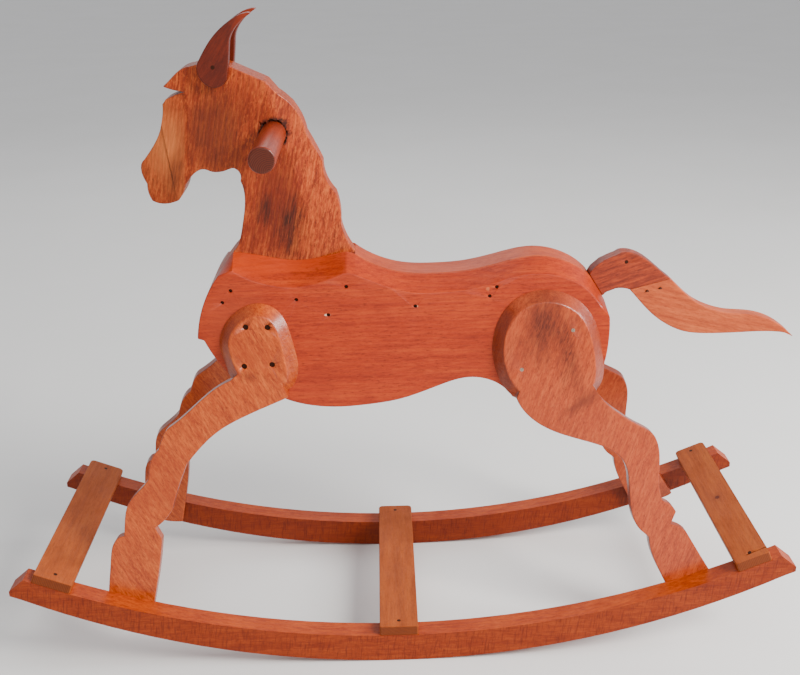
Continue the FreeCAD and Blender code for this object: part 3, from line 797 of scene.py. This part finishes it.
def finished(bm, node, finish):
    """Turns a bmesh into a piece that rides with the horse and hides the solid it replaces."""
    bmesh.ops.triangulate(bm, faces=[f for f in bm.faces if len(f.verts) > 4])
    mesh = bpy.data.meshes.new(node + "_board")
    bm.to_mesh(mesh)
    bm.free()
    mesh.materials.append(finish)
    mesh.shade_smooth()
    mesh.set_sharp_from_angle(angle=CRISP)
    piece = bpy.data.objects.new(node + "_board", mesh)
    bpy.context.scene.collection.objects.link(piece)
    even = piece.modifiers.new("even_shading", "WEIGHTED_NORMAL")
    even.mode = "FACE_AREA_WITH_ANGLE"
    even.weight = EVEN_WEIGHT
    even.keep_sharp = True
    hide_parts(node)
    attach(piece, "root")
    print(piece.name, "has", len(mesh.polygons), "faces")


print("edges over", round(math.degrees(CRISP)), "degrees stay crisp")

# %% [markdown]
# ## The boards
# Most of the boards need nothing more than eased edges and a finish, so one loop makes them
# all. The two sides of the horse share a finish, apart from the bows.

# %% Make the boards
BOARDS = {
    "bow_left": (near_bow_finish, "bow_wood"),
    "bow_right": (far_bow_finish, "bow_wood"),
    "front_leg_left": (front_leg_finish, "leg_wood"),
    "front_leg_right": (front_leg_finish, "leg_wood"),
    "rear_leg_left": (rear_leg_finish, "leg_wood"),
    "rear_leg_right": (rear_leg_finish, "leg_wood"),
    "body_core": (core_finish, "body_wood"),
    "body_side_left": (body_finish, "body_wood"),
    "body_side_right": (body_finish, "body_wood"),
    "ear_left": (ear_finish, "ear_wood"),
    "ear_right": (ear_finish, "ear_wood"),
    "hand_bar": (bar_finish, "bar_wood"),
    "tail_root": (root_finish, "tail_wood"),
    "tail_tip": (tip_finish, "tail_wood"),
}
for node, (finish, slot_name) in BOARDS.items():
    finished(eased(whole_faces(merged_copy(node))), node, finish)

# %% [markdown]
# ## Chips and torn fibres
# Where the bar was driven through the neck, the drill tore the rim of the hole. The rear slat
# split near one end when it was nailed. Such damage is cut away rather than painted, so that
# it is there from every side: a handful of small splinter-shaped cutters is made, and a
# Boolean takes them out of the board. The board is torn while it is still clean triangles,
# before any bevel, because that is where the exact solver is sure of inside and outside.

# %% Cutters for torn wood
def splinters(places):
    """One mesh of small pointed shards: each place is a middle, a turn and a size."""
    bm = bmesh.new()
    for at, turn, size in places:
        shard = bmesh.ops.create_icosphere(bm, subdivisions=1, radius=1.0)["verts"]
        bmesh.ops.scale(bm, verts=shard, vec=size)
        spin = Matrix.Rotation(math.radians(turn), 3, "Y")
        bmesh.ops.rotate(bm, verts=shard, cent=(0, 0, 0), matrix=spin)
        bmesh.ops.translate(bm, verts=shard, vec=at)
    mesh = bpy.data.meshes.new("splinters")
    bm.to_mesh(mesh)
    bm.free()
    return bpy.data.objects.new("splinters", mesh)


def torn(bm, places):
    """Takes the shards out of a board's bmesh and hands back the result."""
    mesh = bpy.data.meshes.new("board")
    bm.to_mesh(mesh)
    bm.free()
    board = bpy.data.objects.new("board", mesh)
    cutter = splinters(places)
    for thing in (board, cutter):
        bpy.context.scene.collection.objects.link(thing)
    cut = board.modifiers.new("torn", "BOOLEAN")
    cut.operation = "DIFFERENCE"
    cut.solver = "EXACT"
    cut.use_self = True
    cut.object = cutter
    depsgraph = bpy.context.evaluated_depsgraph_get()
    left = bpy.data.meshes.new_from_object(board.evaluated_get(depsgraph))
    result = bmesh.new()
    result.from_mesh(left)
    print("torn board:", len(mesh.vertices), "points became", len(result.verts))
    for thing in (board, cutter):
        bpy.data.objects.remove(thing)
    return result


print("the cutters for torn wood are ready")

# %% [markdown]
# ## Neck and head
# The chips round the bar's hole are thickest over its top and right side, and one longer
# splinter is on its left. They are drawn at random from a fixed seed, so they are the same
# each time. The head has low facets left by the plane, which are too flat to ease, so the
# neck's limit angle is larger than the other boards'.

# %% Chips round the hole of the bar
RIM_CHIPS = 15
RIM_START, RIM_STEP, RIM_JITTER = -35, 14.5, 5
CHIP_LONG = (0.0015, 0.0034)
CHIP_DEEP = (0.0020, 0.0045)
CHIP_HIGH = (0.0008, 0.0020)
CHIP_SPREAD = 25
CHIP_OUT = 0.55
SPLINTER_AT, SPLINTER_TURN, SPLINTER_OUT = 140, 60, 0.002
SPLINTER_SIZE = (0.0052, 0.0035, 0.0020)
FIRST_SEED = 11


def rim_chips(centre, radius, seed):
    """Shards round a hole in the XZ plane: each has a middle, a turn and a size."""
    draw = random.Random(seed)
    places = []
    for step in range(RIM_CHIPS):
        jitter = draw.uniform(-RIM_JITTER, RIM_JITTER)
        angle = math.radians(RIM_START + step * RIM_STEP + jitter)
        size = (draw.uniform(*CHIP_LONG), draw.uniform(*CHIP_DEEP), draw.uniform(*CHIP_HIGH))
        reach = radius + size[2] * CHIP_OUT
        at = centre + Vector((math.cos(angle), 0, math.sin(angle))) * reach
        turn = -math.degrees(angle) - 90 + draw.uniform(-CHIP_SPREAD, CHIP_SPREAD)
        places.append((at, turn, size))
    corner = math.radians(SPLINTER_AT)
    out = Vector((math.cos(corner), 0, math.sin(corner))) * (radius + SPLINTER_OUT)
    places.append((centre + out, SPLINTER_TURN, SPLINTER_SIZE))
    return places


bar_low, bar_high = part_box("hand_bar")
neck_low, neck_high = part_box("neck_head")
bar_middle = (bar_low + bar_high) / 2
bar_radius = (bar_high.z - bar_low.z) / 2
hole_chips = []
for side, face in enumerate((neck_low.y, neck_high.y)):
    centre = Vector((bar_middle.x, face, bar_middle.z))
    hole_chips += rim_chips(centre, bar_radius, FIRST_SEED + side)
print("the hole's rim has", len(hole_chips), "chips")

# %% Make the neck and head
NECK_SHARP = math.radians(40)

chip_middles = [place[0] for place in hole_chips]
neck = whole_faces(torn(merged_copy("neck_head"), hole_chips))
finished(eased(neck, NECK_SHARP, chip_middles), "neck_head", neck_finish)

# %% [markdown]
# ## The slats
# The slats' corners were rasped round, the far ones more than the near ones, so the upright
# edges at each end are rounded over before the rest are eased. The split of the rear slat is
# three shards in a row across its grain, just inside its near end. Their height comes from a
# ray cast down onto the slat, because the slat lies tilted on the bows.

# %% Where the rear slat split
SPLIT_SHARDS = ((0.42, 0.0075), (0.62, 0.0090), (0.80, 0.0060))
SPLIT_INSET, SPLIT_SKEW = 0.0085, 0.003
SPLIT_TURN, SPLIT_WIDE, SPLIT_DEEP = -20, 0.0011, 0.0032


def split_near_end(node):
    """Shards along the split in the top of a slat: a share of its width, and a length."""
    low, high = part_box(node)
    whole = whole_faces(merged_copy(node))
    surface = BVHTree.FromBMesh(whole)
    whole.free()
    places = []
    for share, long in SPLIT_SHARDS:
        across = low.x + share * (high.x - low.x)
        above = Vector((across, low.y + SPLIT_INSET + SPLIT_SKEW * share, 1))
        top = surface.ray_cast(above, Vector((0, 0, -1)))[0]
        places.append((top, SPLIT_TURN, (long, SPLIT_WIDE, SPLIT_DEEP)))
    return places


rear_split = split_near_end("rear_slat")
print("the split starts at", [round(c, 3) for c in rear_split[0][0]])

# %% Make the slats
FAR_CORNER, NEAR_CORNER = 0.0055, 0.0020
CORNER_STEPS = 5
AT_END = 0.0005
UPRIGHT = 0.8
SLAT_EASE = EASE * 0.8


def corner_edges(bm, side, half):
    """The upright edges at a slat's far end, side 1, or at its near end, side -1."""
    return [e for e in bm.edges
            if all(v.co.y * side > half - AT_END for v in e.verts)
            and abs((e.verts[0].co - e.verts[1].co).normalized().z) > UPRIGHT]


def rounded_slat(node, chips):
    """A slat with its corners rounded, and torn by any chips."""
    bm = merged_copy(node)
    if chips:
        bm = torn(bm, chips)
    whole_faces(bm)
    low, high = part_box(node)
    half = (high.y - low.y) / 2
    for side, radius in ((1, FAR_CORNER), (-1, NEAR_CORNER)):
        bevel(bm, corner_edges(bm, side, half), radius, CORNER_STEPS)
    edges = clear_of(sharp_edges(bm), [place[0] for place in chips], 2 * LEAVE_REACH)
    bevel(bm, edges, SLAT_EASE, EASE_STEPS)
    return bm


SPLITS = {"front_slat": (), "middle_slat": (), "rear_slat": rear_split}
for node, chips in SPLITS.items():
    finished(rounded_slat(node, chips), node, slat_finish)

# %% [markdown]
# ## Nails and screws
# The nails and screws are already modelled to size, so their solids stay and only get a
# finish. Most have rusted nearly black under the stain; those of the haunches are bright.

# %% Metal for the nails
RUST_GRAIN = 900.0
METALLIC = 0.8
BRIGHT = ("rear_leg_nails_left", "rear_leg_nails_right")


def metal(name, colour, roughness):
    f = Finish(name)
    rust = f.noise(f.here, scale=RUST_GRAIN)
    f.wire("Base Color", f.mix(f.span(rust, 0.45, 0.70), colour, stain(70, 38, 26)))
    f.put("Metallic", METALLIC)
    f.put("Roughness", roughness)
    return f.material


dark_nail = metal("dark_nail", stain(60, 38, 30), 0.6)
bright_nail = metal("bright_nail", stain(170, 160, 150), 0.35)
for node in NAIL_NODES:
    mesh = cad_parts[node].data
    mesh.materials.clear()
    mesh.materials.append(bright_nail if node in BRIGHT else dark_nail)
print("bright nail groups:", len(BRIGHT), "of", len(NAIL_NODES))
